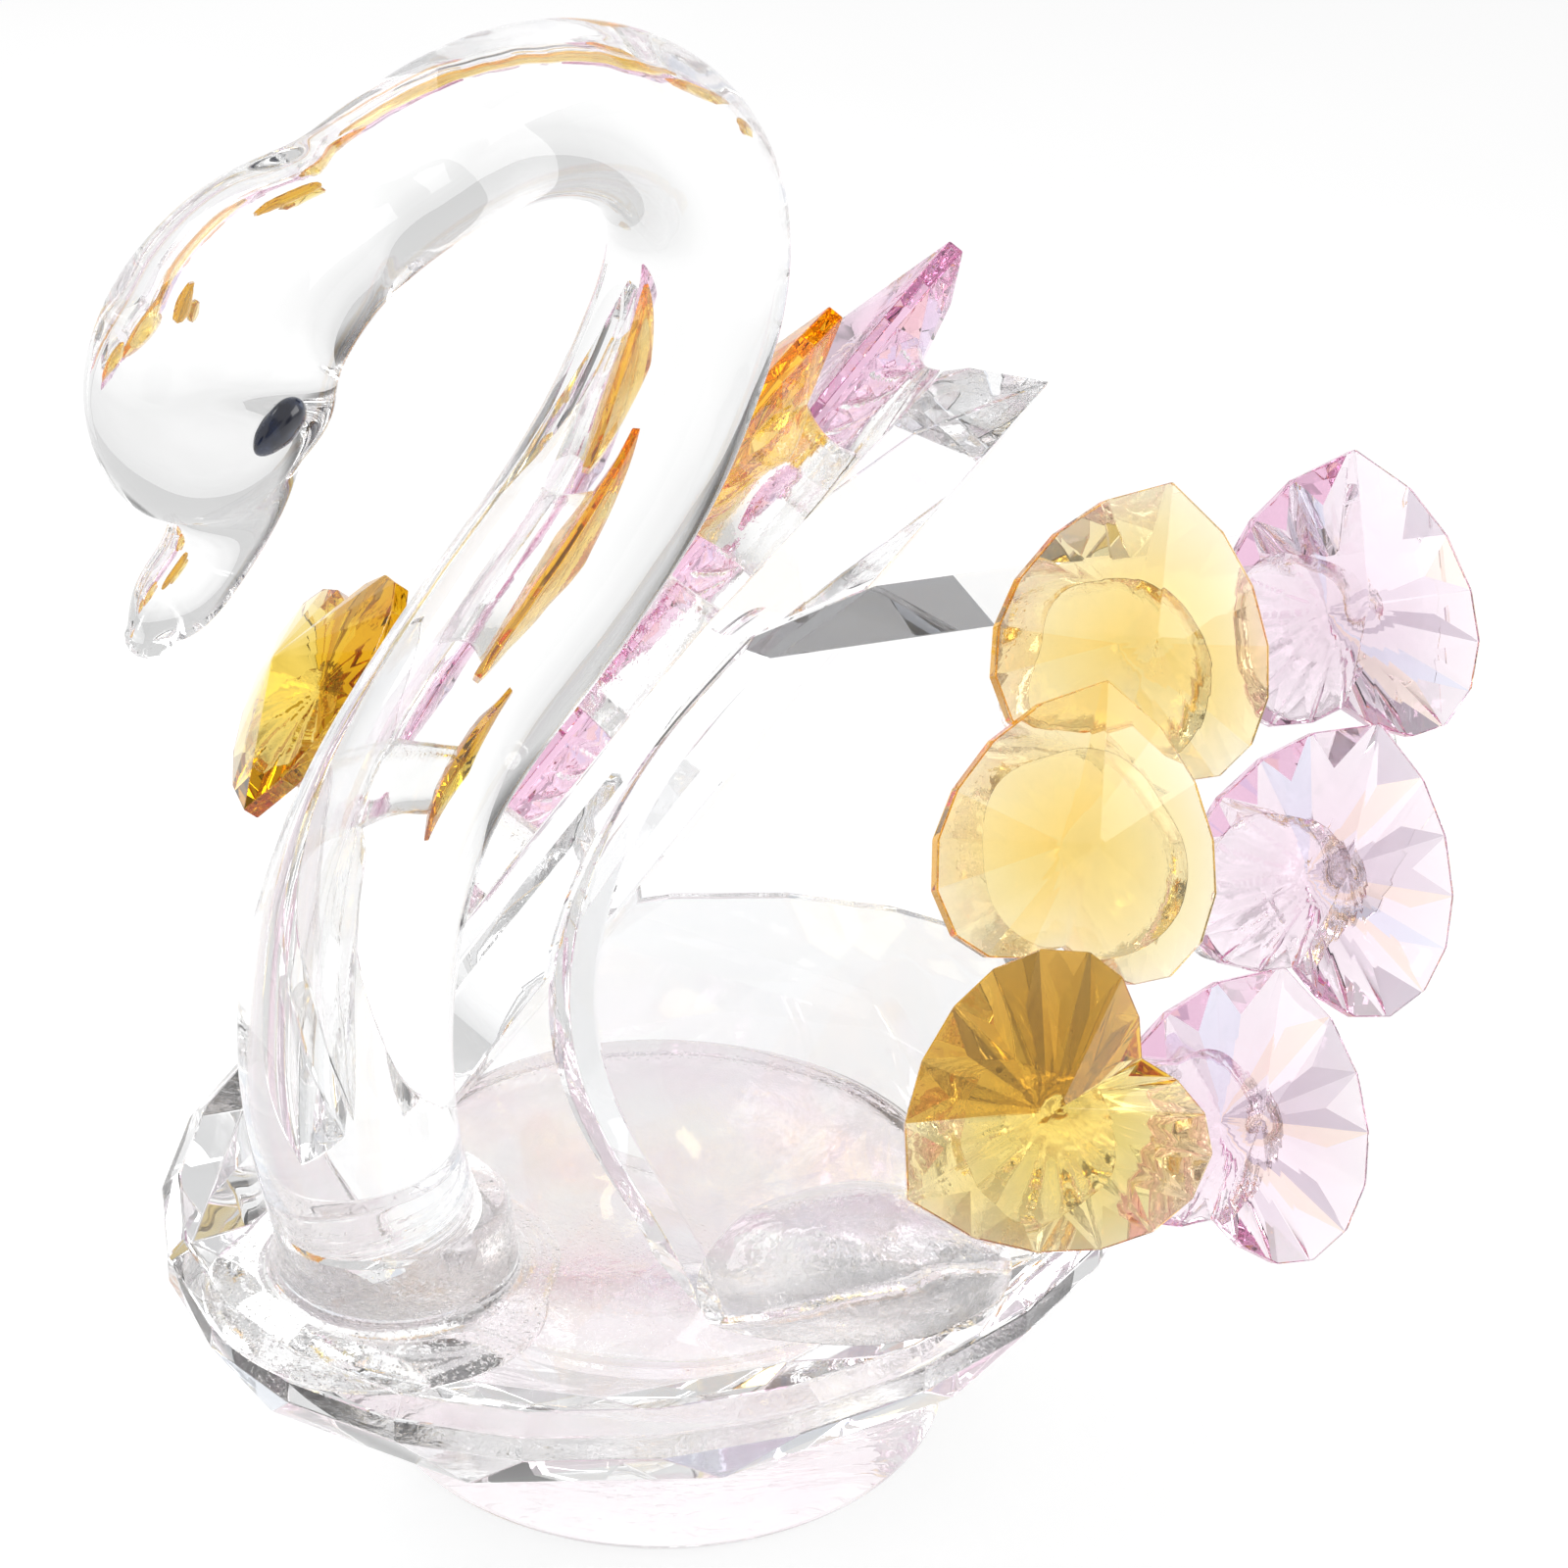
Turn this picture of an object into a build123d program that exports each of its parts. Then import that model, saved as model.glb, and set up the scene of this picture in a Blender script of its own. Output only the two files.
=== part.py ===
"""Crystal glass swan figurine, built as separate glued pieces.

Units are millimetres. The origin is the centre of the foot's rest face, +Z is up,
the swan faces -Y and its left wing is on +X. The layout is symmetric about X = 0.
"""
import os
from math import cos, pi, radians, sin

from build123d import *

# foot and base
FOOT_RADIUS = 14.9
FOOT_HEIGHT = 6.6
FOOT_BEVEL = 0.6
FOOT_TOP_BEVEL = 0.4
BASE_SIDES = 24
BASE_HALF_WIDTH = 22.5
BASE_HALF_LENGTH = 26.8
BASE_TOP_Z = 15.4
BASE_BOTTOM_Z = 6.8
BASE_CROWN_DROP = 0.9
BASE_CROWN_INSET = 0.9
BASE_GIRDLE = 1.3
BASE_SKIRT_DROP = 3.2
BASE_SKIRT_INSET = 1.9
BASE_PAVILION_INSET = 7.4

# neck, head and beak: centreline stations (y, z) with the rod's radius
NECK_FOOT_Z = 15.6
NECK_STATIONS = (
    (-17.5, 15.6, 5.1),
    (-19.1, 20.5, 4.9),
    (-20.2, 26.5, 5.0),
    (-20.2, 31.5, 5.0),
    (-19.3, 35.5, 4.8),
    (-17.2, 40.3, 4.5),
    (-13.3, 44.8, 4.45),
    (-9.5, 48.0, 4.6),
    (-6.0, 51.0, 4.6),
    (-2.9, 54.3, 4.6),
    (-0.8, 57.5, 4.5),
    (0.9, 61.2, 4.35),
    (1.2, 64.7, 4.2),
    (-0.1, 67.9, 4.1),
    (-2.8, 70.5, 4.0),
    (-6.3, 72.1, 3.95),
    (-10.2, 72.7, 3.9),
    (-14.8, 72.1, 3.85),
    (-19.3, 70.9, 4.05),
    (-23.2, 69.2, 4.6),
    (-25.9, 66.9, 5.15),
    (-27.0, 64.3, 5.25),
    (-27.0, 62.0, 4.5),
    (-26.5, 60.1, 3.2),
    (-26.7, 58.4, 2.25),
    (-27.9, 56.6, 1.8),
    (-29.6, 55.2, 1.55),
    (-30.7, 54.2, 0.9),
)

# eyes: flattened beads let into the sides of the head
EYE_SPOT = (5.3, -27.4, 65.0)
EYE_HALF = (0.7, 0.85, 1.5)
EYE_TILT = -55.0

# wing plates: slabs that lean together at the top and open to the rear
WING_SPLAY = 24.0
WING_LEAN = 31.3
WING_OFFSET = 22.0
WING_THICKNESS = 4.9
WING_TOP_Z = 41.9
WING_BOTTOM_Z = 15.6
WING_BEVEL = 1.0
SEAM_GAP = 0.12
WING_FRONT_CURVE = (
    (-3.0, 4.0),
    (-5.2, 11.0),
    (-6.8, 15.0),
    (-7.4, 19.6),
    (-6.5, 23.8),
    (-4.5, 27.8),
    (-1.3, 31.8),
    (3.5, 35.8),
    (8.0, 39.2),
)
WING_REAR_TOP = (39.3, 40.0)
WING_REAR_MID = (38.2, 24.5)
WING_REAR_LOW = (14.0, 4.0)

# heart stones: outline measured from the point of the central facet star
HEART_SIDE = (
    (3.1, 6.3),
    (5.2, 4.1),
    (6.6, 1.5),
    (7.15, -1.0),
    (6.8, -3.4),
    (5.5, -5.3),
    (3.7, -6.0),
    (1.7, -5.7),
)
HEART_TIP = (0.0, 8.0)
HEART_NOTCH = (0.0, -4.8)
HEART_GIRDLE = 0.9
HEART_CROWN = 2.3
GLUE_RADIUS = 3.3
GLUE_CLEARANCE = 0.04

# stone name: along the plate, up the plate, off the plate, turn of its tip from the
# plate's length, then how far its face leans and towards which direction on the plate
LEFT_HEARTS = {
    "amber_heart_1": (21.6, 33.7, 5.6, 68.0, 0.0, 0.0),
    "amber_heart_2": (16.1, 24.5, 8.1, 71.0, 0.0, 0.0),
    "amber_heart_3": (12.1, 12.5, 10.0, -160.0, 16.0, 157.0),
    "pink_heart_1": (33.8, 33.8, 3.4, 78.0, 0.0, 0.0),
    "pink_heart_2": (30.1, 21.1, 4.4, 60.0, 0.0, 0.0),
    "pink_heart_3": (24.0, 9.8, 3.4, 64.0, 0.0, 0.0),
}
RIGHT_HEARTS = {
    "amber_heart_1": (22.4, 34.4, 5.6, 66.0, 0.0, 0.0),
    "amber_heart_2": (16.4, 24.6, 9.0, 66.0, 10.0, 157.0),
    "amber_heart_3": (12.4, 11.6, 15.2, -150.0, 27.0, 157.0),
    "pink_heart_1": (35.2, 35.0, 3.4, 78.0, 0.0, 0.0),
    "pink_heart_2": (30.6, 21.6, 4.4, 62.0, 0.0, 0.0),
    "pink_heart_3": (24.3, 9.8, 3.4, 60.0, 0.0, 0.0),
}

# adhesive beads
FOOT_FILM_RADIUS = 14.3
NECK_BEAD_HEIGHT = 3.9
NECK_BEAD_RADIUS = 6.3
WING_BEAD_CENTRE = (15.4, -2.6, 15.5)
WING_BEAD_HALF = (8.4, 5.0, 5.0)
WING_BEAD_TURN = 48.0


def plate_axes():
    """Return the left plate's outward normal and its along-plate direction."""
    a = radians(WING_SPLAY)
    b = radians(WING_LEAN)
    normal = Vector(cos(a) * cos(b), -sin(a) * cos(b), sin(b))
    along = Vector(sin(a), cos(a), 0)
    return normal, along


NORMAL, ALONG = plate_axes()
UP = NORMAL.cross(ALONG)


def plate_point(along, up, off):
    """Point on the left plate's outer face, moved off the face by a distance."""
    return NORMAL * (WING_OFFSET + off) + ALONG * along + UP * up


def on_plate(angle):
    """Unit direction in the plate's face, turned from its length."""
    return ALONG * cos(radians(angle)) + UP * sin(radians(angle))


def heart_plane(along, up, off, turn, lean, lean_towards):
    """Plane of a stone's girdle, with +Y towards the stone's tip."""
    facing = NORMAL * cos(radians(lean)) + on_plate(lean_towards) * sin(radians(lean))
    side = on_plate(turn).cross(facing)
    return Plane(origin=plate_point(along, up, off), x_dir=side, z_dir=facing)


def heart_outline():
    """Closed run of outline points, tip first."""
    left = [(-x, y) for x, y in reversed(HEART_SIDE)]
    return [HEART_TIP, *HEART_SIDE, HEART_NOTCH, *left]


def faceted_heart(plane):
    """Double-sided stone: a thin girdle between two low pyramids of flat facets."""
    half = HEART_GIRDLE / 2
    with BuildPart() as stone:
        with BuildSketch(plane.offset(-half)) as girdle:
            Polygon(*heart_outline(), align=None)
        extrude(amount=HEART_GIRDLE)
        for side in (1, -1):
            rim = plane.offset(side * half)
            with BuildSketch(rim) as edge:
                Polygon(*heart_outline(), align=None)
            peak = plane.origin + plane.z_dir * (side * (half + HEART_CROWN))
            loft(sections=[edge.sketch, Vertex(peak)], ruled=True)
    return stone.part


def oval_corners(inset):
    """Corners of the base's many-sided oval, drawn in by an inset."""
    step = 2 * pi / BASE_SIDES
    wide = BASE_HALF_WIDTH - inset
    long = BASE_HALF_LENGTH - inset
    return [(wide * cos(step * (i + 0.5)), long * sin(step * (i + 0.5))) for i in range(BASE_SIDES)]


def glue_pad(along, up, off, keep_clear):
    """Column of adhesive from the plate's face up to a stone, cut clear of stones."""
    start = Plane(origin=plate_point(along, up, GLUE_CLEARANCE), x_dir=ALONG, z_dir=NORMAL)
    with BuildPart() as pad:
        with BuildSketch(start):
            Circle(GLUE_RADIUS)
        extrude(amount=off - GLUE_CLEARANCE)
        for stone in keep_clear:
            add(stone, mode=Mode.SUBTRACT)
    return min(pad.part.solids(), key=lambda s: s.center().dot(NORMAL))


# foot disc
with BuildPart() as foot_disc:
    Cylinder(FOOT_RADIUS, FOOT_HEIGHT, align=(Align.CENTER, Align.CENTER, Align.MIN))
    chamfer(foot_disc.edges().sort_by(Axis.Z)[0], FOOT_BEVEL)
    chamfer(foot_disc.edges().sort_by(Axis.Z)[-1], FOOT_TOP_BEVEL)

# adhesive film between the foot and the base
with BuildPart() as foot_adhesive:
    with Locations((0, 0, FOOT_HEIGHT)):
        Cylinder(FOOT_FILM_RADIUS, BASE_BOTTOM_Z - FOOT_HEIGHT, align=(Align.CENTER, Align.CENTER, Align.MIN))

# faceted oval base: pavilion, skirt, girdle and crown bevel stacked as ruled rings
with BuildPart() as base_plate:
    crown_z = BASE_TOP_Z - BASE_CROWN_DROP
    girdle_z = crown_z - BASE_GIRDLE
    levels = (
        (BASE_BOTTOM_Z, BASE_PAVILION_INSET),
        (girdle_z - BASE_SKIRT_DROP, BASE_SKIRT_INSET),
        (girdle_z, 0.0),
        (crown_z, 0.0),
        (BASE_TOP_Z, BASE_CROWN_INSET),
    )
    for (z_low, in_low), (z_high, in_high) in zip(levels[:-1], levels[1:]):
        with BuildSketch(Plane.XY.offset(z_low)) as low:
            Polygon(*oval_corners(in_low), align=None)
        with BuildSketch(Plane.XY.offset(z_high)) as high:
            Polygon(*oval_corners(in_high), align=None)
        loft(sections=[low.sketch, high.sketch], ruled=True)

# eyes first, so that the head can be cut to take them
eyes = {}
for label, side in (("left_eye", 1), ("right_eye", -1)):
    with BuildPart() as bead:
        Sphere(1.0)
    flattened = scale(bead.part, by=EYE_HALF).rotate(Axis.X, EYE_TILT)
    eyes[label] = flattened.translate(Vector(EYE_SPOT[0] * side, EYE_SPOT[1], EYE_SPOT[2]))

# neck, head and beak drawn from one rod
with BuildPart() as neck_head:
    with BuildLine() as centreline:
        run = Spline(*[(0, y, z) for y, z, r in NECK_STATIONS])
    rings = []
    for y, z, radius in NECK_STATIONS:
        u = run.param_at_point(Vector(0, y, z))
        heading = run.tangent_at(u)
        if z == NECK_FOOT_Z:
            heading = Vector(0, 0, 1)
        across = heading.cross(Vector(1, 0, 0))
        with BuildSketch(Plane(origin=(0, y, z), x_dir=across, z_dir=heading)) as ring:
            Circle(radius)
        rings.append(ring.sketch)
    loft(sections=rings)
    for label in eyes:
        add(eyes[label], mode=Mode.SUBTRACT)

# wing plates
with BuildPart() as left_wing_plate:
    face_plane = Plane(origin=NORMAL * WING_OFFSET, x_dir=ALONG, z_dir=NORMAL)
    with BuildSketch(face_plane):
        with BuildLine():
            Spline(*WING_FRONT_CURVE)
            Polyline(WING_FRONT_CURVE[-1], WING_REAR_TOP, WING_REAR_MID, WING_REAR_LOW, WING_FRONT_CURVE[0])
        make_face()
    extrude(amount=-WING_THICKNESS)
    rims = left_wing_plate.faces().sort_by(Axis(origin=(0, 0, 0), direction=tuple(NORMAL)))
    chamfer(rims[-1].edges(), WING_BEVEL)
    with Locations((0, 0, WING_TOP_Z)):
        Box(200, 200, 60, align=(Align.CENTER, Align.CENTER, Align.MIN), mode=Mode.SUBTRACT)
    with Locations((0, 0, WING_BOTTOM_Z)):
        Box(200, 200, 60, align=(Align.CENTER, Align.CENTER, Align.MAX), mode=Mode.SUBTRACT)
    with Locations((SEAM_GAP, 0, 0)):
        Box(100, 200, 200, align=(Align.MAX, Align.CENTER, Align.CENTER), mode=Mode.SUBTRACT)

with BuildPart() as right_wing_plate:
    mirror(left_wing_plate.part, about=Plane.YZ)

# heart stones and the adhesive behind each
stones = {}
pads = {}
for side, layout in (("left", LEFT_HEARTS), ("right", RIGHT_HEARTS)):
    placed = {}
    for name, place in layout.items():
        placed[name] = faceted_heart(heart_plane(*place))
    for name, place in layout.items():
        column = glue_pad(*place[:3], placed.values())
        if side == "right":
            column = column.mirror(Plane.YZ)
        pads[side + "_" + name + "_adhesive"] = column
    for name, stone in placed.items():
        if side == "right":
            stone = stone.mirror(Plane.YZ)
        stones[side + "_" + name] = stone

# adhesive round the foot of the neck
with BuildPart() as neck_adhesive:
    neck_y = NECK_STATIONS[0][0]
    with BuildSketch(Plane(origin=(0, neck_y, 0), x_dir=(1, 0, 0), z_dir=(0, -1, 0))):
        with BuildLine():
            low = (NECK_BEAD_RADIUS, BASE_TOP_Z)
            high = (5.6, BASE_TOP_Z + NECK_BEAD_HEIGHT)
            Line((0, BASE_TOP_Z), low)
            ThreePointArc(low, (6.0, BASE_TOP_Z + 1.2), high)
            Line(high, (0, high[1]))
            Line((0, high[1]), (0, BASE_TOP_Z))
        make_face()
    revolve(axis=Axis((0, neck_y, 0), (0, 0, 1)))
    add(neck_head.part, mode=Mode.SUBTRACT)

# large beads between the wing plates and the base
beads = {}
for side, sign, plate in (("left", 1, left_wing_plate), ("right", -1, right_wing_plate)):
    with BuildPart() as ball:
        Sphere(1.0)
    dome = scale(ball.part, by=WING_BEAD_HALF)
    dome = dome.rotate(Axis.Z, WING_BEAD_TURN)
    if sign < 0:
        dome = dome.mirror(Plane.YZ)
    dome = dome.moved(Location((WING_BEAD_CENTRE[0] * sign, WING_BEAD_CENTRE[1], WING_BEAD_CENTRE[2])))
    with BuildPart() as bead:
        add(dome)
        with Locations((0, 0, BASE_TOP_Z)):
            Box(200, 200, 60, align=(Align.CENTER, Align.CENTER, Align.MAX), mode=Mode.SUBTRACT)
        add(plate.part, mode=Mode.SUBTRACT)
        for name, stone in stones.items():
            if name.startswith(side):
                add(stone, mode=Mode.SUBTRACT)
    beads[side + "_wing_adhesive"] = max(bead.part.solids(), key=lambda s: s.volume)

pieces = {
    "foot_disc": foot_disc.part,
    "base_plate": base_plate.part,
    "neck_head": neck_head.part,
    "left_wing_plate": left_wing_plate.part,
    "right_wing_plate": right_wing_plate.part,
    "foot_adhesive": foot_adhesive.part,
    "neck_adhesive": neck_adhesive.part,
}
pieces.update(eyes)
pieces.update(stones)
pieces.update(pads)
pieces.update(beads)

os.makedirs("parts", exist_ok=True)
for label, shape in pieces.items():
    shape.label = label
    export_step(shape, "parts/" + label + ".step")
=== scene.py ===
"""Looks of the crystal swan figurine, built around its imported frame.

Lengths in the tables are millimetres; meshes are made in metres, in the frame's axes.
"""
from math import cos, pi, radians, sin, tau

import bmesh
import bpy
import numpy as np
from mathutils import Matrix, Vector, noise
from mathutils.bvhtree import BVHTree


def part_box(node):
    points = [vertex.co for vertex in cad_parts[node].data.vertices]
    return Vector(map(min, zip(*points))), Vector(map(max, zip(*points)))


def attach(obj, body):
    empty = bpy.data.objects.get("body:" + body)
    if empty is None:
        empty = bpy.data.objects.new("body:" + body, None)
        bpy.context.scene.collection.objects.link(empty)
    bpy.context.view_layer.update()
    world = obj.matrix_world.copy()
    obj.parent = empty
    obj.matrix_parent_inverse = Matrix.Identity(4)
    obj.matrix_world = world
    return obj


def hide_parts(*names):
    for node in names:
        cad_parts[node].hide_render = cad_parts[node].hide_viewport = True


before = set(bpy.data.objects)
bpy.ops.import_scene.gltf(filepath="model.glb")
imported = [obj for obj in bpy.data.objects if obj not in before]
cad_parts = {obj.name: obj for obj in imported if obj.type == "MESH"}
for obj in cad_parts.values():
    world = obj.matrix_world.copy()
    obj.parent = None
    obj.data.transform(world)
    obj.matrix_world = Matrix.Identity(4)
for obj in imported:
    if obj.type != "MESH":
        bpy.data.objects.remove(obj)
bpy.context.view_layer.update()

MM = 0.001
# glued glass faces sink this far into each other, so that light passes the joint
CONTACT = 0.04 * MM

# wing plates, as in the frame
WING_SPLAY = radians(24.0)
WING_LEAN = radians(31.3)
WING_OFFSET = 22.0 * MM
# the near plate's flat top: its least height, and how far back its front part with the painted dark
# reflection reaches
CREST_HEIGHT = 40.0 * MM
CREST_SPLIT = 16.7 * MM

# neck centreline (y, z), rod radius, and how much wider than deep it is
NECK = (
    (-17.5, 15.6, 5.1, 1.0),
    (-19.1, 20.5, 4.9, 1.0),
    (-20.2, 26.5, 5.0, 1.0),
    (-20.2, 31.5, 5.0, 1.0),
    (-19.3, 35.5, 4.8, 1.0),
    (-17.2, 40.3, 4.5, 1.0),
    (-13.3, 44.8, 4.45, 1.0),
    (-9.5, 48.0, 4.6, 1.0),
    (-6.0, 51.0, 4.6, 1.0),
    (-2.9, 54.3, 4.6, 1.0),
    (-0.8, 57.5, 4.5, 1.0),
    (0.9, 61.2, 4.35, 1.0),
    (1.2, 64.7, 4.2, 1.0),
    (-0.1, 67.9, 4.1, 1.0),
    (-2.8, 70.5, 4.0, 1.0),
    (-6.3, 72.1, 3.95, 1.0),
    (-10.2, 72.7, 3.9, 1.0),
    (-14.8, 72.1, 3.85, 1.0),
    (-19.3, 70.9, 4.05, 1.0),
    (-23.2, 69.2, 4.6, 1.0),
    (-25.9, 66.9, 5.15, 1.0),
    (-27.0, 64.3, 5.25, 1.0),
    (-27.0, 62.0, 4.5, 1.0),
    (-26.5, 60.1, 3.2, 1.0),
    (-26.7, 58.4, 2.25, 1.05),
    (-27.9, 56.6, 1.8, 1.12),
    (-29.6, 55.2, 1.55, 1.15),
    (-30.7, 54.2, 0.9, 1.15),
)
# tong marks pressed into the rod: x, y, z, reach, depth
TONG_MARKS = (
    (3.2, -20.6, 73.6, 2.4, 0.75),
    (-3.2, -20.6, 73.6, 2.4, 0.75),
    (3.6, -17.0, 74.6, 1.6, 0.45),
    (-3.6, -17.0, 74.6, 1.6, 0.45),
    (4.6, -19.6, 69.4, 1.5, 0.4),
    (-4.6, -19.6, 69.4, 1.5, 0.4),
)

# rings and sides of the rod's mesh, and the bevel of its ground end in millimetres
NECK_STATIONS = 260
NECK_SIDES = 72
GROUND_END = 0.22

# base, in millimetres: half width, half length and the height of its table
BASE_HALF_WIDTH = 22.5
BASE_HALF_LENGTH = 26.8
BASE_TOP = 15.4

WHITE = (1.0, 1.0, 1.0)
CLEAR_IOR = 1.52
ROD_IOR = 1.50
STONE_IOR = 1.54
# heights of surface waves and of grain, in metres
POLISH_WAVES = 0.000004
ROD_WAVES = 0.00004
GRAIN_HEIGHT = 0.00006
# mesh layer that holds the painted reflection, shade or glint colour of each facet
PAINTED_FACET_LAYER = "painted_facet_light"


# ---------------------------------------------------------------- materials

def node_tree(name):
    """A new material with one principled shader."""
    mat = bpy.data.materials.new(name)
    mat.use_nodes = True
    tree = mat.node_tree
    tree.nodes.clear()
    out = tree.nodes.new("ShaderNodeOutputMaterial")
    shader = tree.nodes.new("ShaderNodeBsdfPrincipled")
    tree.links.new(shader.outputs["BSDF"], out.inputs["Surface"])
    return mat, tree, shader, out


def noise_map(tree, scale, detail=2.0, stretch=(1, 1, 1), distortion=0.0):
    """Noise over the object's own coordinates, in features per metre."""
    coord = tree.nodes.new("ShaderNodeTexCoord")
    place = tree.nodes.new("ShaderNodeMapping")
    place.inputs["Scale"].default_value = stretch
    tex = tree.nodes.new("ShaderNodeTexNoise")
    tex.inputs["Scale"].default_value = scale
    tex.inputs["Detail"].default_value = detail
    tex.inputs["Distortion"].default_value = distortion
    tree.links.new(coord.outputs["Object"], place.inputs["Vector"])
    tree.links.new(place.outputs["Vector"], tex.inputs["Vector"])
    return tex.outputs["Fac"]


def remap(tree, value, low, high, to_low, to_high):
    """Stretch a value's range low..high to to_low..to_high, held at both ends."""
    node = tree.nodes.new("ShaderNodeMapRange")
    node.inputs["From Min"].default_value = low
    node.inputs["From Max"].default_value = high
    node.inputs["To Min"].default_value = to_low
    node.inputs["To Max"].default_value = to_high
    tree.links.new(value, node.inputs["Value"])
    return node.outputs["Result"]


def ramp(tree, value, *stops):
    """Colour from a value, through stops of (position, colour)."""
    node = tree.nodes.new("ShaderNodeValToRGB")
    elements = node.color_ramp.elements
    while len(elements) < len(stops):
        elements.new(0.5)
    for element, (position, colour) in zip(elements, stops):
        element.position = position
        element.color = (*colour, 1)
    tree.links.new(value, node.inputs["Fac"])
    return node.outputs["Color"]


def bump(tree, shader, height, distance, under=None):
    """Raise the surface by distance where height is 1, over an earlier bump."""
    node = tree.nodes.new("ShaderNodeBump")
    node.inputs["Distance"].default_value = distance
    node.inputs["Strength"].default_value = 1.0
    tree.links.new(height, node.inputs["Height"])
    if under is not None:
        tree.links.new(under, node.inputs["Normal"])
    tree.links.new(node.outputs["Normal"], shader.inputs["Normal"])
    return node.outputs["Normal"]


def product(tree, first, second):
    """One value times another."""
    node = tree.nodes.new("ShaderNodeMath")
    node.operation = "MULTIPLY"
    tree.links.new(first, node.inputs[0])
    tree.links.new(second, node.inputs[1])
    return node.outputs["Value"]


def tinted_volume(tree, out, colour, density):
    """Colour that deepens with the thickness of the glass."""
    node = tree.nodes.new("ShaderNodeVolumeAbsorption")
    node.inputs["Color"].default_value = (*colour, 1)
    node.inputs["Density"].default_value = density
    tree.links.new(node.outputs["Volume"], out.inputs["Volume"])


def times_painted_facet_light(tree, colour):
    """Multiply a colour by the painted reflection, shade or glint stored on each facet."""
    flash = tree.nodes.new("ShaderNodeAttribute")
    flash.attribute_name = PAINTED_FACET_LAYER
    mix = tree.nodes.new("ShaderNodeMix")
    mix.data_type = "RGBA"
    mix.blend_type = "MULTIPLY"
    mix.inputs["Factor"].default_value = 1.0
    tree.links.new(colour, mix.inputs["A"])
    tree.links.new(flash.outputs["Color"], mix.inputs["B"])
    return mix.outputs["Result"]


def glass(name, ior, pale, tint, smudge, waves, wave_scale, stretch=(1, 1, 1), volume=None, faceted=False):
    """Clear or tinted glass with slight colour drift, smudges and surface waves."""
    mat, tree, shader, out = node_tree(name)
    shader.inputs["Transmission Weight"].default_value = 1.0
    shader.inputs["IOR"].default_value = ior
    drift = noise_map(tree, 160, 3)
    colour = ramp(tree, drift, (0.35, pale), (0.65, tint))
    # faceted glass takes the painted reflection, shade and glints stored on its facets
    if faceted:
        colour = times_painted_facet_light(tree, colour)
    tree.links.new(colour, shader.inputs["Base Color"])
    marks = noise_map(tree, 420, 5, distortion=1.2)
    rough = remap(tree, marks, 0.58, 0.80, 0.0, smudge)
    tree.links.new(rough, shader.inputs["Roughness"])
    swell = noise_map(tree, wave_scale, 1, stretch)
    bump(tree, shader, swell, waves)
    if volume:
        tinted_volume(tree, out, *volume)
    return mat


def cut_glass(name, ior, pale, tint, wave_scale, volume=None, faceted=True):
    """Ground and polished glass: nearly flat, with a few smudges."""
    return glass(name, ior, pale, tint, 0.03, POLISH_WAVES, wave_scale, volume=volume, faceted=faceted)


foot_crystal = cut_glass("foot_crystal", CLEAR_IOR, WHITE, (1.0, 0.90, 0.945), 260, faceted=False)
cut_crystal = cut_glass("faceted_clear_crystal", CLEAR_IOR, WHITE, (0.985, 0.992, 1.0), 260)
rod_glass = glass(
    "fire_polished_rod", ROD_IOR, WHITE, (0.985, 0.99, 0.988), 0.02, ROD_WAVES, 330, stretch=(1, 1, 0.22)
)
# the last argument is the colour and the density of what the stone absorbs
amber = cut_glass(
    "amber_crystal", STONE_IOR, (1.0, 0.97, 0.86), (1.0, 0.93, 0.74), 300, ((0.988, 0.82, 0.12), 250)
)
deep_amber = cut_glass(
    "deep_amber_crystal", STONE_IOR, (1.0, 0.95, 0.80), (1.0, 0.90, 0.66), 300, ((0.95, 0.83, 0.12), 340)
)
pink = cut_glass(
    "pink_crystal", STONE_IOR, (1.0, 0.965, 0.985), (0.985, 0.94, 0.975), 300, ((0.80, 0.22, 0.58), 46)
)


def adhesive_material(name, ior, ripple, speckle, dust_top=None):
    """Clear glue with ripples; trapped dust frosts it, only below dust_top if given."""
    mat, tree, shader, out = node_tree(name)
    shader.inputs["Transmission Weight"].default_value = 1.0
    shader.inputs["IOR"].default_value = ior
    colour = ramp(tree, noise_map(tree, 300, 3), (0.3, WHITE), (0.7, (0.985, 0.985, 0.975)))
    tree.links.new(colour, shader.inputs["Base Color"])
    dust = noise_map(tree, 5200, 2)
    rough = remap(tree, dust, 0.60, 0.74, 0.0, speckle)
    if dust_top:
        coord = tree.nodes.new("ShaderNodeTexCoord")
        split = tree.nodes.new("ShaderNodeSeparateXYZ")
        tree.links.new(coord.outputs["Object"], split.inputs["Vector"])
        low = remap(tree, split.outputs["Z"], dust_top, dust_top + 0.4 * MM, 1.0, 0.0)
        rough = product(tree, rough, low)
    tree.links.new(rough, shader.inputs["Roughness"])
    swell = noise_map(tree, 520, 3, distortion=0.8)
    first = bump(tree, shader, swell, ripple)
    grain = remap(tree, noise_map(tree, 3600, 1), 0.62, 0.72, 0.0, 1.0)
    bump(tree, shader, grain, speckle * GRAIN_HEIGHT, first)
    return mat


bond = adhesive_material("bonding_adhesive", 1.48, 0.00004, 0.10)
smeared = adhesive_material("smeared_adhesive", 1.47, 0.00002, 0.35, (BASE_TOP + 0.3) * MM)


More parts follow.
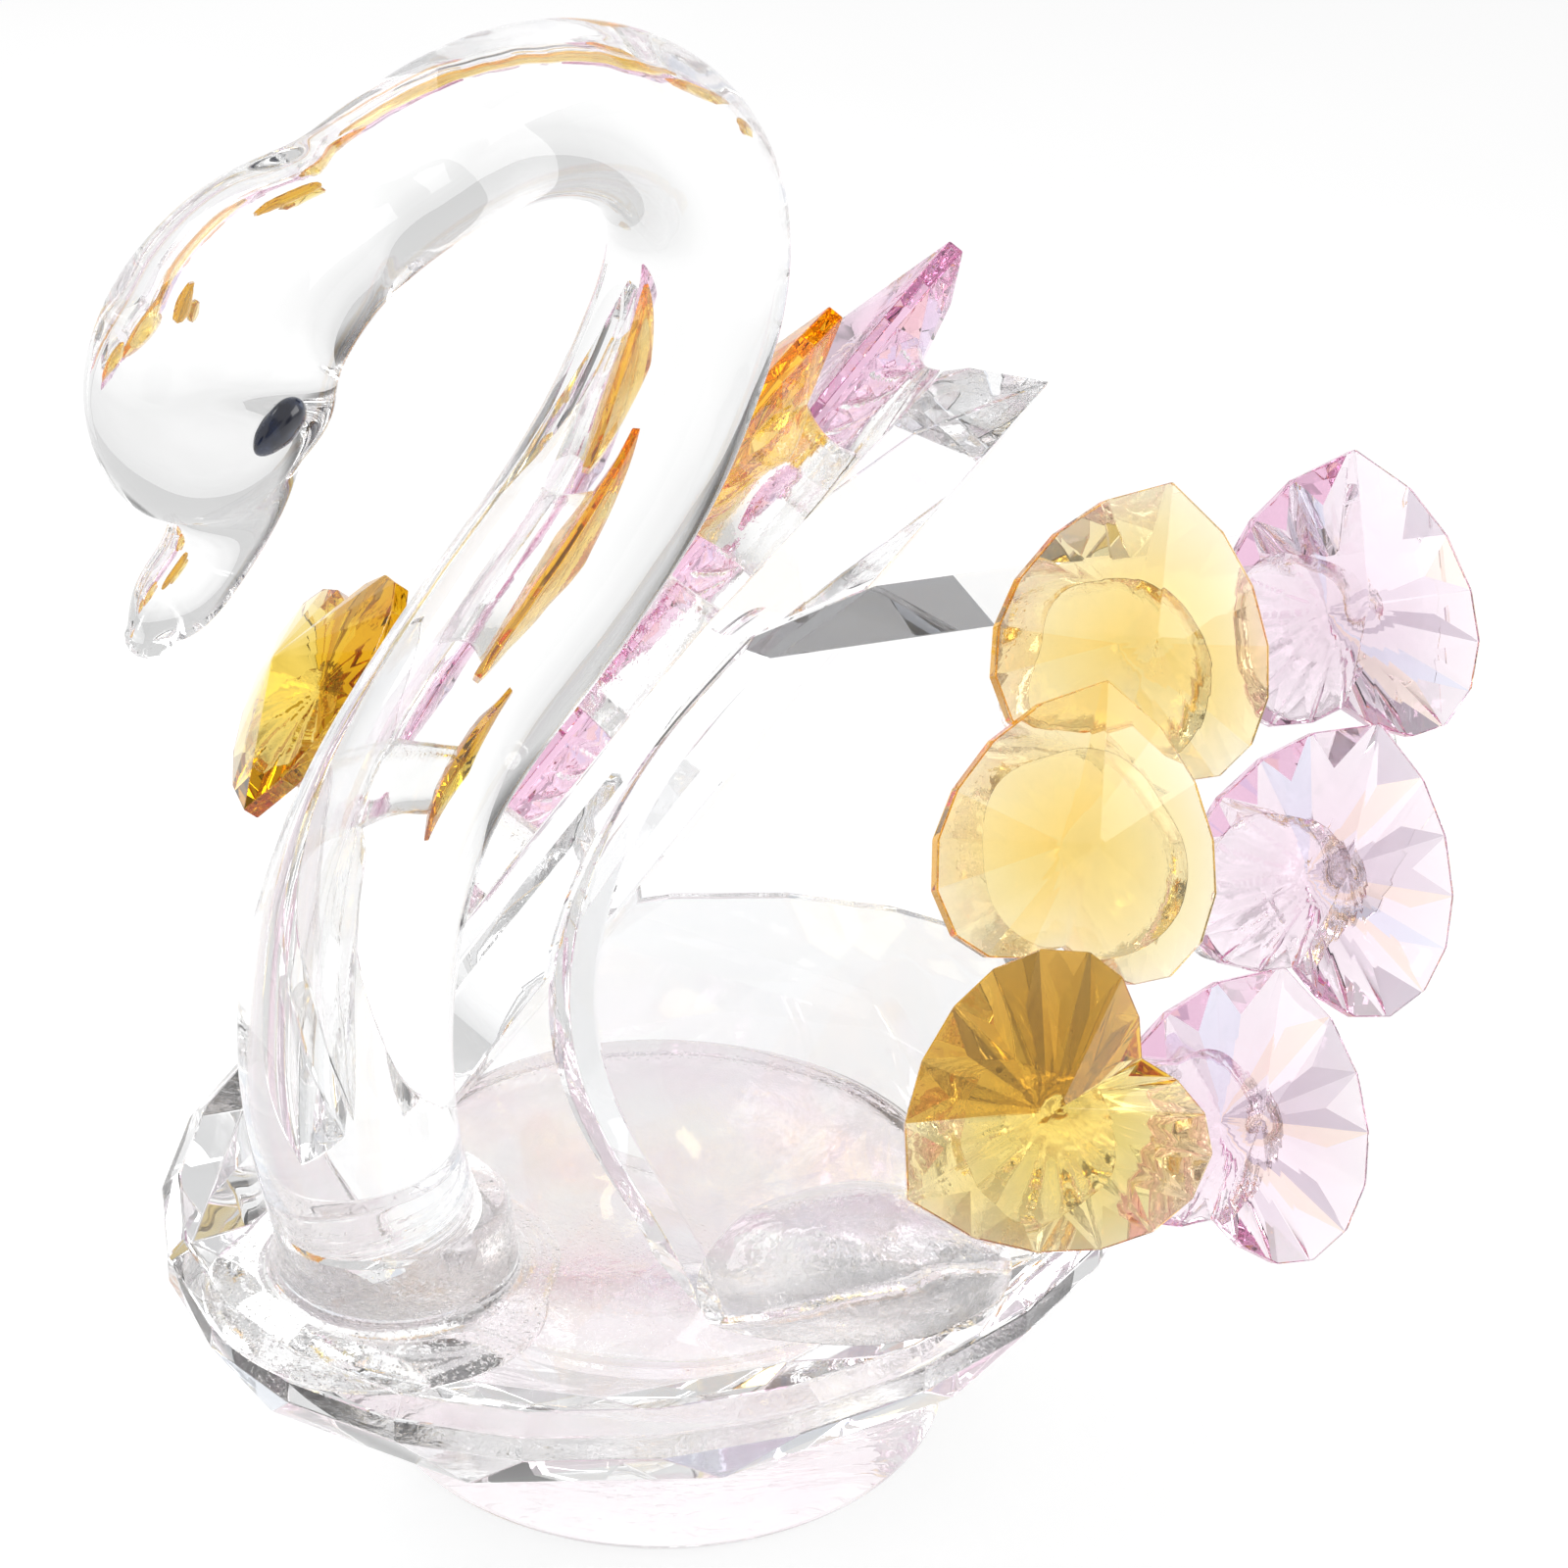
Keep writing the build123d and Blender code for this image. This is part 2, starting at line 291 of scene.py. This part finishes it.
def ground_glass_material():
    """The rod's sawn end: fine frosted grain."""
    mat, tree, shader, out = node_tree("ground_glass")
    shader.inputs["Transmission Weight"].default_value = 1.0
    shader.inputs["IOR"].default_value = ROD_IOR
    colour = ramp(tree, noise_map(tree, 900, 4), (0.3, (1.0, 0.96, 0.97)), (0.7, (0.97, 0.91, 0.93)))
    tree.links.new(colour, shader.inputs["Base Color"])
    tree.links.new(remap(tree, noise_map(tree, 2400, 3), 0.3, 0.7, 0.04, 0.16), shader.inputs["Roughness"])
    bump(tree, shader, noise_map(tree, 5000, 2), 0.00003)
    return mat


def eye_material():
    """Dark navy bead with a paler cloud to one side."""
    mat, tree, shader, out = node_tree("navy_eye")
    cloud = noise_map(tree, 900, 3, distortion=0.5)
    navy, middle, pale = (0.006, 0.008, 0.022), (0.02, 0.03, 0.07), (0.16, 0.20, 0.30)
    colour = ramp(tree, cloud, (0.40, navy), (0.56, middle), (0.74, pale))
    tree.links.new(colour, shader.inputs["Base Color"])
    tree.links.new(remap(tree, noise_map(tree, 2600, 2), 0.3, 0.7, 0.12, 0.3), shader.inputs["Roughness"])
    shader.inputs["Coat Weight"].default_value = 1.0
    shader.inputs["Coat Roughness"].default_value = 0.03
    bump(tree, shader, noise_map(tree, 1800, 2), 0.00001)
    return mat


ground_glass = ground_glass_material()
eye_enamel = eye_material()


# ---------------------------------------------------------------- mesh helpers

def make_piece(name, bm, materials, nodes, smooth_angle):
    """Turn a mesh in metres into a piece that stands for CAD nodes."""
    bmesh.ops.recalc_face_normals(bm, faces=bm.faces)
    mesh = bpy.data.meshes.new(name)
    bm.to_mesh(mesh)
    bm.free()
    for mat in materials:
        mesh.materials.append(mat)
    mesh.shade_smooth()
    mesh.set_sharp_from_angle(angle=radians(smooth_angle))
    piece = bpy.data.objects.new(name, mesh)
    bpy.context.scene.collection.objects.link(piece)
    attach(piece, "root")
    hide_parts(*nodes)


def welded(node):
    """A CAD node's mesh with its seams closed and flat neighbours joined."""
    bm = bmesh.new()
    bm.from_mesh(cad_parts[node].data)
    bmesh.ops.remove_doubles(bm, verts=bm.verts, dist=0.002 * MM)
    bmesh.ops.dissolve_limit(
        bm, angle_limit=radians(0.15), verts=bm.verts, edges=bm.edges, use_dissolve_boundaries=False
    )
    bmesh.ops.recalc_face_normals(bm, faces=bm.faces)
    return bm


def polish(bm, width, sharper_than):
    """Round by a small width the arrises that turn by more than some degrees."""
    edges = []
    for edge in bm.edges:
        if len(edge.link_faces) == 2 and edge.calc_face_angle(0) > radians(sharper_than):
            edges.append(edge)
    bmesh.ops.bevel(
        bm, geom=edges, offset=width, offset_type="OFFSET", segments=2, profile=0.5,
        affect="EDGES", clamp_overlap=True,
    )
    bmesh.ops.dissolve_degenerate(bm, dist=0.001 * MM, edges=bm.edges)


def paint_facet_light(bm, choose):
    """Store the painted reflection, shade or glint colour of every facet; choose(face) gives one or None.
    """
    layer = bm.loops.layers.float_color.new(PAINTED_FACET_LAYER)
    for face in bm.faces:
        tint = choose(face) or WHITE
        for loop in face.loops:
            loop[layer] = (*tint, 1.0)


def angles(count, shift=0.0):
    """Evenly spaced directions round a circle, in radians."""
    return [tau * (i + shift) / count for i in range(count)]


def bridge(bm, rings):
    """Skin a run of equal rings of points and cap both ends."""
    rows = [[bm.verts.new(p) for p in ring] for ring in rings]
    count = len(rows[0])
    for low, high in zip(rows[:-1], rows[1:]):
        for i in range(count):
            j = (i + 1) % count
            bm.faces.new((low[i], low[j], high[j], high[i]))
    bm.faces.new(rows[0][::-1])
    bm.faces.new(rows[-1])


def cubic(knots, values, at):
    """Natural cubic spline through values at knots, read at given places."""
    knots = np.asarray(knots, float)
    values = np.asarray(values, float)
    n = len(knots)
    h = np.diff(knots)
    system = np.eye(n)
    right = np.zeros(n)
    for i in range(1, n - 1):
        system[i, i - 1] = h[i - 1]
        system[i, i] = 2 * (h[i - 1] + h[i])
        system[i, i + 1] = h[i]
        right[i] = 3 * ((values[i + 1] - values[i]) / h[i] - (values[i] - values[i - 1]) / h[i - 1])
    c = np.linalg.solve(system, right)
    b = np.diff(values) / h - h * (2 * c[:-1] + c[1:]) / 3
    d = np.diff(c) / (3 * h)
    i = np.clip(np.searchsorted(knots, at) - 1, 0, n - 2)
    t = at - knots[i]
    return values[i] + b[i] * t + c[i] * t**2 + d[i] * t**3


# ---------------------------------------------------------------- neck and head

def neck_ring(y, z, tangent, radius, wide):
    """Points round the rod at one station."""
    side = Vector((1, 0, 0))
    up = tangent.cross(side).normalized()
    centre = Vector((0, y, z))
    points = []
    for a in angles(NECK_SIDES):
        points.append(centre + side * (cos(a) * radius * wide) + up * (sin(a) * radius))
    return points


def pressed(point, centre):
    """Move a point on the rod towards its centre where the tongs pressed."""
    moved = point.copy()
    for x, y, z, reach, depth in TONG_MARKS:
        far = (point - Vector((x, y, z))).length / reach
        if far < 2.5:
            moved += (centre - point).normalized() * depth * np.exp(-far * far)
    return moved


def build_neck():
    """One drawn rod from its ground end to the tip of the beak."""
    stations = np.array(NECK)
    gaps = np.hypot(np.diff(stations[:, 0]), np.diff(stations[:, 1]))
    run = np.concatenate([[0], np.cumsum(gaps)])
    at = np.linspace(0, run[-1], NECK_STATIONS)
    y, z, r, wide = (cubic(run, stations[:, k], at) for k in range(4))
    dy, dz = np.gradient(y, at), np.gradient(z, at)
    rings = []
    for i in range(len(at)):
        tangent = Vector((0, dy[i], dz[i])).normalized()
        if i == 0:
            tangent = Vector((0, 0, 1))
        centre = Vector((0, y[i], z[i]))
        ring = neck_ring(y[i], z[i], tangent, r[i], wide[i])
        rings.append([pressed(p, centre) for p in ring])
    foot = neck_ring(y[0], z[0], Vector((0, 0, 1)), r[0] - GROUND_END, 1.0)
    rings[0] = [p + Vector((0, 0, GROUND_END)) for p in rings[0]]
    rings.insert(0, foot)
    for turn in (25, 50, 72, 84):
        a = radians(turn)
        ahead = tangent * (sin(a) * r[-1])
        rings.append(neck_ring(y[-1] + ahead.y, z[-1] + ahead.z, tangent, r[-1] * cos(a), wide[-1]))
    bm = bmesh.new()
    bridge(bm, [[p * MM for p in ring] for ring in rings])
    bm.faces.ensure_lookup_table()
    for face in bm.faces:
        if all(v.co.z < (BASE_TOP + 0.5) * MM for v in face.verts):
            face.material_index = 1
    make_piece("neck_and_head", bm, [rod_glass, ground_glass], ["neck_head"], 40)


build_neck()


# ---------------------------------------------------------------- eyes

def build_eye(side, node):
    """Dark bead, fuller at its upper end, let into the cheek."""
    low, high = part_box(node)
    centre = (Vector(low) + Vector(high)) / 2
    bm = bmesh.new()
    bmesh.ops.create_icosphere(bm, subdivisions=5, radius=1.0)
    turn = Matrix.Rotation(radians(-55), 3, "X")
    for vert in bm.verts:
        p = vert.co.copy()
        full = 1 + 0.16 * p.z - 0.05 * noise.noise(p * 2.0)
        p = Vector((p.x * 0.7 * full, p.y * 0.85 * full, p.z * 1.5))
        vert.co = centre + (turn @ p) * MM
    make_piece(side + "_eye_bead", bm, [eye_enamel], [node], 60)


build_eye("left", "left_eye")
build_eye("right", "right_eye")


# ---------------------------------------------------------------- base and foot

def oval(count, inset, z, shift=0.5):
    """Points round the base's outline, moved in by inset, at height z."""
    points = []
    for a in angles(count, shift):
        x = (BASE_HALF_WIDTH - inset) * cos(a)
        y = (BASE_HALF_LENGTH - inset) * sin(a)
        points.append(Vector((x, y, z)) * MM)
    return points


# painted reflections on the base's facets: blue-grey and grey from the surroundings, rose from the pink
# stones
BASE_PAINTED_REFLECTIONS = ((0.56, 0.62, 0.73), (0.97, 0.78, 0.86), (0.78, 0.78, 0.81))


def base_painted_reflection(face):
    """Painted blue-grey, rose and grey reflections on some front facets below the girdle."""
    x, y, z = face.calc_center_median() / MM
    pick = abs(noise.cell(Vector((x * 0.31 + 2.2, y * 0.31 + 5.3, z * 0.4))))
    return BASE_PAINTED_REFLECTIONS[int(pick * 5)] if z < 13.0 and x - y > 8.0 and pick < 0.6 else None


def build_base():
    """Cut oval: flat table, crown bevel, girdle, skirt and a starred underside."""
    bm = bmesh.new()
    cloud = oval(24, 0.9, BASE_TOP) + oval(24, 0.0, 14.5) + oval(24, 0.0, 13.2)
    cloud += oval(12, 1.5, 10.4, 0.0) + oval(12, 7.4, 6.8, 0.5)
    for point in cloud:
        bm.verts.new(point)
    bmesh.ops.convex_hull(bm, input=bm.verts)
    bmesh.ops.dissolve_limit(
        bm, angle_limit=radians(0.3), verts=bm.verts, edges=bm.edges, use_dissolve_boundaries=False
    )
    paint_facet_light(bm, base_painted_reflection)
    polish(bm, 0.10 * MM, 3.0)
    make_piece("faceted_base", bm, [cut_crystal], ["base_plate"], 8)


def lathe(profile, count=160, wobble=0.0):
    """Rings of points for a turned profile of (radius, z) in millimetres."""
    rings = []
    for radius, z in profile:
        ring = []
        for a in angles(count):
            r = radius * (1 + wobble * noise.noise(Vector((cos(a) * 2, sin(a) * 2, z))))
            ring.append(Vector((r * cos(a), r * sin(a), z)) * MM)
        rings.append(ring)
    return rings


def build_foot():
    """Round disc with rounded rims, and the film of glue round its top."""
    profile = [(14.1, 0.0), (14.3, 0.02), (14.75, 0.46), (14.88, 0.66), (14.9, 0.9)]
    profile += [(14.9, 3.2), (14.9, 6.0), (14.88, 6.25), (14.72, 6.46), (14.5, 6.58), (14.3, 6.6)]
    bm = bmesh.new()
    bridge(bm, lathe(profile))
    make_piece("foot_disc_polished", bm, [foot_crystal], ["foot_disc"], 20)
    film = bmesh.new()
    rim = [(13.9, 6.55), (14.2, 6.66), (14.25, 6.72), (13.9, 6.86)]
    bridge(film, lathe(rim, 120, 0.03))
    make_piece("foot_glue_film", film, [bond], ["foot_adhesive"], 40)


build_base()
build_foot()


# ---------------------------------------------------------------- wing plates

def plate_axes(sign):
    """Outward normal, direction along the plate and direction up it."""
    a, b = WING_SPLAY, WING_LEAN
    normal = Vector((sign * cos(a) * cos(b), -sin(a) * cos(b), sin(b)))
    along = Vector((sign * sin(a), cos(a), 0))
    return normal, along, normal.cross(along) * sign


# painted dark reflection on the front part of the near plate's flat top
PAINTED_DARK_REFLECTION = (0.14, 0.14, 0.145)


def on_crest(face):
    """True for the flat top of a wing plate."""
    return face.normal.z > 0.99 and face.calc_center_median().z > CREST_HEIGHT


def paint_crest_reflection(bm, along):
    """Cut a plate's flat top in two and paint a dark reflection on its front part."""
    crest = [f for f in bm.faces if on_crest(f)]
    corners = list({v for f in crest for v in f.verts})
    edges = list({e for f in crest for e in f.edges})
    bmesh.ops.bisect_plane(
        bm, geom=corners + edges + crest, dist=0.0001 * MM, plane_co=along * CREST_SPLIT, plane_no=along
    )

    def flash(face):
        in_front = face.calc_center_median().dot(along) < CREST_SPLIT
        return PAINTED_DARK_REFLECTION if on_crest(face) and in_front else None

    paint_facet_light(bm, flash)


def build_wing_slab(side):
    """A CAD plate let down on to the base, with its arrises polished."""
    slab = welded(side + "_wing_plate")
    for vert in slab.verts:
        if vert.co.z < (BASE_TOP + 0.22) * MM:
            vert.co.z = BASE_TOP * MM - CONTACT
    if side == "left":
        # the near plate's flat top gets a painted dark reflection
        paint_crest_reflection(slab, plate_axes(1)[1])
    else:
        paint_facet_light(slab, lambda face: None)
    polish(slab, 0.14 * MM, 12.0)
    make_piece(side + "_wing_slab", slab, [cut_crystal], [side + "_wing_plate"], 8)


build_wing_slab("left")
build_wing_slab("right")


# ---------------------------------------------------------------- hearts and their adhesive

def heart_axis(bm, normal):
    """Centre of a stone and its facing direction, from its two star points."""
    stars = sorted(bm.verts, key=lambda v: len(v.link_edges))[-2:]
    back, front = sorted((v.co.copy() for v in stars), key=lambda p: p.dot(normal))
    return (back + front) / 2, (front - back).normalized()


def cut_back(bm, centre, facing, rise):
    """Break each back facet into three about a ridge that stands out by rise."""
    if not rise:
        return
    backs = [f for f in bm.faces if f.normal.dot(facing) < -0.5]
    made = bmesh.ops.poke(bm, faces=backs)
    for vert in made["verts"]:
        out = vert.co - centre
        out -= facing * out.dot(facing)
        vert.co += out * 0.16 - facing * rise * MM


# painted shade and painted glints on back facets
PAINTED_DEEP_SHADE_AMBERS = ((0.50, 0.22, 0.02), (0.16, 0.07, 0.01), (0.60, 0.29, 0.03), (0.30, 0.13, 0.01))
PAINTED_SOFT_SHADE_AMBER = (1.0, 0.90, 0.66)
PINK_PAINTED_GLINTS_AND_SHADE = ((0.74, 0.86, 1.0), (1.0, 0.86, 0.66), (0.50, 0.46, 0.52), (0.72, 0.69, 0.74))


def heart_painted_shade_and_glints(face, centre, facing, along, up, label):
    """Painted shade or painted glint that some back facets of a cut stone show."""
    out = face.calc_center_median() - centre
    x, y = out.dot(along) / MM, out.dot(up) / MM
    pick = abs(noise.cell(Vector((x * 1.9 + 3.1, y * 1.9 + 1.7, len(label) + 0.4))))
    if out.dot(facing) > -0.5 * MM:
        return None
    # the deepest amber stone gets painted shade on its upper back facets
    if label == "amber_heart_3":
        return PAINTED_DEEP_SHADE_AMBERS[int(pick * 4.4) % 4] if y - 0.25 * x > 0.6 else None
    # the paler amber stones get a painted golden shade on some back facets
    if "amber" in label:
        return PAINTED_SOFT_SHADE_AMBER if pick < 0.35 else None
    # the pink stones get painted blue and gold glints and painted grey shade on some back facets
    return PINK_PAINTED_GLINTS_AND_SHADE[int(pick * 8)] if pick < 0.5 and (x > 0.4 or y > 2.4) else None


PAD_SIDES = 64


def build_pad(name, centre, stone, normal, along, up, reach, shift, seed):
    """Glue between the plate's face and a stone's back, following its facets."""
    height = centre.dot(normal) - WING_OFFSET
    root = centre - normal * (height + CONTACT) + (along * shift[0] + up * shift[1]) * MM

    def spot(a, r):
        return root + along * (cos(a) * r) + up * (sin(a) * r)

    def ceiling(a, r):
        hit = stone.ray_cast(spot(a, r), normal)
        return None if hit[0] is None else hit[0] + normal * CONTACT

    outline = []
    for a in angles(PAD_SIDES):
        swell = noise.noise(Vector((cos(a) * 1.3, sin(a) * 1.3, seed)))
        r = reach * (1 + 0.22 * swell) * MM
        while ceiling(a, r * 1.06) is None and r > 0.5 * MM:
            r -= 0.1 * MM
        outline.append((a, r))
    radii = [r for a, r in outline]
    for i, (a, r) in enumerate(list(outline)):
        outline[i] = (a, (radii[i - 1] + 2 * r + radii[(i + 1) % PAD_SIDES]) / 4)

    rings = []
    for k in range(6):
        share = max(k / 5, 0.02)
        rings.append([spot(a, r * share * 0.94) for a, r in outline])
    for k in range(1, 10):
        t = k / 10
        waist = 0.94 + 0.06 * t - 0.10 * sin(pi * t)
        ring = []
        for a, r in outline:
            rise = (ceiling(a, r) or spot(a, r)) - spot(a, r)
            ring.append(root + rise * t + along * (cos(a) * r * waist) + up * (sin(a) * r * waist))
        rings.append(ring)
    for k in range(14, -1, -1):
        share = max(k / 14, 0.01)
        rings.append([ceiling(a, r * share) or spot(a, r * share) for a, r in outline])
    bm = bmesh.new()
    bridge(bm, rings)
    make_piece(name + "_glue", bm, [bond], [name + "_adhesive"], 35)


# in millimetres: how far each stone's glue spreads, how far it sits from the stone's
# centre along and up the plate, and how far the ridges of the back facets stand out
GLUE_SPREAD = {
    "amber_heart_1": (4.5, (-0.9, -1.5), 0.0),
    "amber_heart_2": (4.9, (-0.1, -0.7), 0.0),
    "amber_heart_3": (3.2, (-0.6, -1.4), 0.24),
    "pink_heart_1": (4.0, (-2.6, -0.8), 0.22),
    "pink_heart_2": (4.0, (-2.4, -0.6), 0.22),
    "pink_heart_3": (4.0, (-2.2, -0.4), 0.22),
}

STONE_GLASS = {"amber_heart_1": amber, "amber_heart_2": amber, "amber_heart_3": deep_amber}


def build_heart(sign, side, label, seed):
    """One stone with the glue that holds it to its plate."""
    normal, along, up = plate_axes(sign)
    name = f"{side}_{label}"
    reach, shift, rise = GLUE_SPREAD[label]
    stone = welded(name)
    centre, facing = heart_axis(stone, normal)
    cut_back(stone, centre, facing, rise)
    build_pad(name, centre, BVHTree.FromBMesh(stone), normal, along, up, reach, shift, seed)
    paint_facet_light(stone, lambda face: heart_painted_shade_and_glints(face, centre, facing, along, up, label))
    polish(stone, 0.06 * MM, 4.0)
    make_piece(name + "_stone", stone, [STONE_GLASS.get(label, pink)], [name], 3)


for sign, side in ((1, "left"), (-1, "right")):
    for k, label in enumerate(GLUE_SPREAD):
        build_heart(sign, side, label, k * 3.7 + sign)


# ---------------------------------------------------------------- adhesive beads

# collar of glue round the rod: radius and height above the base, from its lip outwards
COLLAR = (
    (5.02, 3.95), (5.3, 3.86), (5.55, 3.55), (5.68, 3.0), (5.74, 2.2), (5.80, 1.4),
    (5.92, 0.75), (6.15, 0.36), (6.6, 0.16), (7.3, 0.08), (7.9, 0.05), (8.0, -0.04),
)
COLLAR_SIDES = 120
ROD_Y = -17.5
SMEAR_DIRECTION = radians(-62)


def drawn_in(ring):
    """The same ring shrunk to a twentieth about the rod's axis."""
    return [Vector((p.x * 0.05, (ROD_Y + (p.y / MM - ROD_Y) * 0.05) * MM, p.z)) for p in ring]


def collar_ring(radius, rise):
    """Outside of the collar at one height, which runs forward where it is low."""
    ring = []
    for a in angles(COLLAR_SIDES):
        uneven = noise.noise(Vector((cos(a) * 1.6, sin(a) * 1.6, 4.0)))
        forward = max(0.0, cos(a - SMEAR_DIRECTION))
        spread = max(0.0, radius - 5.7) / 2.3
        r = radius + uneven * 0.4 * spread + forward * 2.6 * spread**2
        lift = rise * (1 + 0.08 * uneven) if rise > 0 else rise
        ring.append(Vector((r * cos(a), ROD_Y + r * sin(a), BASE_TOP + lift)) * MM)
    return ring


def rod_ring(rise):
    """Where the collar meets the rod, which leans forward as it rises."""
    r = COLLAR[0][0]
    ring = []
    for a in angles(COLLAR_SIDES):
        ring.append(Vector((r * cos(a), ROD_Y - 0.33 * rise + r * sin(a), BASE_TOP + rise)) * MM)
    return ring


def build_neck_glue():
    """Collar of glue round the rod's foot, smeared forward over the base."""
    inner = [rod_ring(rise) for rise in (0.24, 1.4, 2.6, 3.7)]
    outer = [collar_ring(radius, rise) for radius, rise in COLLAR]
    bm = bmesh.new()
    bridge(bm, [drawn_in(inner[0])] + inner + outer + [drawn_in(outer[-1])])
    make_piece("neck_glue", bm, [smeared], ["neck_adhesive"], 60)


# domed bead of glue at a wing plate's foot: half sizes, place and turn
BEAD_HALF = Vector((8.4, 5.0, 5.0))
BEAD_X = 15.4
BEAD_Y = -2.6
BEAD_TURN = radians(48.0)
BEAD_LAYERS = 23
# the last layer stops just short of the dome's pole
BEAD_POLE = 22.3


def bead_ring(sign, tilt):
    """Outline of the bead at one angle above its equator."""
    centre = Vector((BEAD_X * sign, BEAD_Y, BASE_TOP - CONTACT / MM))
    turn = Matrix.Rotation(BEAD_TURN * sign, 3, "Z")
    ring = []
    for a in angles(96):
        out = Vector((cos(a) * cos(tilt), sin(a) * cos(tilt), sin(tilt)))
        ripple = noise.noise((out + Vector((0, 0, sign))) * 1.8)
        p = centre + turn @ (out * BEAD_HALF * (1 + 0.07 * ripple))
        p.z = max(p.z, centre.z)
        ring.append(p * MM)
    return ring


def build_wing_glue(sign, side):
    """Domed bead in the corner between a plate's lower edge and the base."""
    bm = bmesh.new()
    bridge(bm, [bead_ring(sign, (pi / 2) * k / BEAD_POLE) for k in range(BEAD_LAYERS)])
    bmesh.ops.remove_doubles(bm, verts=bm.verts, dist=0.003 * MM)
    normal = plate_axes(sign)[0]
    cut = bmesh.ops.bisect_plane(
        bm, geom=bm.verts[:] + bm.edges[:] + bm.faces[:], dist=0.0001 * MM,
        plane_co=normal * (WING_OFFSET - CONTACT), plane_no=-normal, clear_outer=True,
    )
    rim = [e for e in cut["geom_cut"] if isinstance(e, bmesh.types.BMEdge)]
    bmesh.ops.edgeloop_fill(bm, edges=rim)
    make_piece(side + "_wing_glue", bm, [bond], [side + "_wing_adhesive"], 50)


build_neck_glue()
build_wing_glue(1, "left")
build_wing_glue(-1, "right")


# ---------------------------------------------------------------- floor, light and camera

def build_floor():
    """Pale matt table with a soft glow that fades away from the figurine."""
    mat, tree, shader, out = node_tree("pale_table")
    colour = ramp(tree, noise_map(tree, 12, 3), (0.3, (0.24, 0.24, 0.24)), (0.7, (0.27, 0.27, 0.27)))
    tree.links.new(colour, shader.inputs["Base Color"])
    shader.inputs["Roughness"].default_value = 0.8
    coord = tree.nodes.new("ShaderNodeTexCoord")
    length = tree.nodes.new("ShaderNodeVectorMath")
    length.operation = "LENGTH"
    tree.links.new(coord.outputs["Object"], length.inputs[0])
    pool = remap(tree, length.outputs["Value"], 0.02, 0.28, 1.0, 0.0)
    glow = ramp(tree, pool, (0.0, (0.72, 0.72, 0.72)), (1.0, WHITE))
    tree.links.new(glow, shader.inputs["Emission Color"])
    shader.inputs["Emission Strength"].default_value = 0.86
    bm = bmesh.new()
    bmesh.ops.create_grid(bm, x_segments=8, y_segments=8, size=3.0)
    mesh = bpy.data.meshes.new("table_top")
    bm.to_mesh(mesh)
    bm.free()
    mesh.materials.append(mat)
    table = bpy.data.objects.new("table_top", mesh)
    table.location.z = -0.00002
    bpy.context.scene.collection.objects.link(table)


def build_world():
    """White tent with a dark opening behind and softer grey gaps at its sides.

    Each gap has a direction, the cosines at which it is full and gone, and its level.
    """
    world = bpy.data.worlds.new("light_tent")
    bpy.context.scene.world = world
    world.use_nodes = True
    tree = world.node_tree
    tree.nodes.clear()
    out = tree.nodes.new("ShaderNodeOutputWorld")
    back = tree.nodes.new("ShaderNodeBackground")
    tree.links.new(back.outputs["Background"], out.inputs["Surface"])
    coord = tree.nodes.new("ShaderNodeTexCoord")
    level = None
    for direction, near, far, shade in (
        ((-0.08, 0.86, 0.50), 0.982, 0.950, 0.04),
        ((-0.90, -0.42, 0.15), 0.965, 0.860, 0.15),
        ((0.62, -0.62, 0.48), 0.960, 0.900, 0.25),
        ((0.0, -1.0, 0.20), 0.985, 0.950, 0.08),
        ((0.95, 0.20, 0.25), 0.985, 0.940, 0.25),
        ((0.0, 0.0, 1.0), 0.50, -0.10, 1.5),
    ):
        dot = tree.nodes.new("ShaderNodeVectorMath")
        dot.operation = "DOT_PRODUCT"
        dot.inputs[1].default_value = Vector(direction).normalized()
        tree.links.new(coord.outputs["Generated"], dot.inputs[0])
        patch = remap(tree, dot.outputs["Value"], far, near, 1.0, shade)
        level = patch if level is None else product(tree, level, patch)
    tree.links.new(ramp(tree, level, (0.0, (0.0, 0.0, 0.0)), (1.0, WHITE)), back.inputs["Color"])
    back.inputs["Strength"].default_value = 0.66


def build_lights():
    """A key and a fill softbox, both aimed at the figurine."""
    for name, place, size, power in (
        ("key_softbox", (-0.35, -0.15, 0.55), 0.4, 2.2),
        ("fill_softbox", (0.45, 0.35, 0.4), 0.35, 0.8),
    ):
        data = bpy.data.lights.new(name, "AREA")
        data.size = size
        data.energy = power
        lamp = bpy.data.objects.new(name, data)
        lamp.location = place
        lamp.rotation_euler = (Vector((0, 0, 0.03)) - Vector(place)).to_track_quat("-Z", "Y").to_euler()
        bpy.context.scene.collection.objects.link(lamp)


def build_camera():
    """Long lens from the front left of the swan, looking down at it."""
    data = bpy.data.cameras.new("camera")
    data.sensor_width = 36.0
    data.lens = 109.70
    data.clip_start = 0.01
    data.clip_end = 20
    camera = bpy.data.objects.new("camera", data)
    right = Vector((0.6918, 0.7215, 0.0277))
    back = Vector((0.6189, -0.6123, 0.4920)).normalized()
    right = (right - back * right.dot(back)).normalized()
    up = back.cross(right)
    place = Matrix((right, up, back)).transposed().to_4x4()
    place.translation = Vector((0.14762, -0.13815, 0.15001))
    camera.matrix_world = place
    bpy.context.scene.collection.objects.link(camera)
    bpy.context.scene.camera = camera


build_floor()
build_world()
build_lights()
build_camera()
scene = bpy.context.scene
scene.view_settings.view_transform = "Standard"
scene.cycles.max_bounces = 40
scene.cycles.transmission_bounces = 40
scene.cycles.glossy_bounces = 32
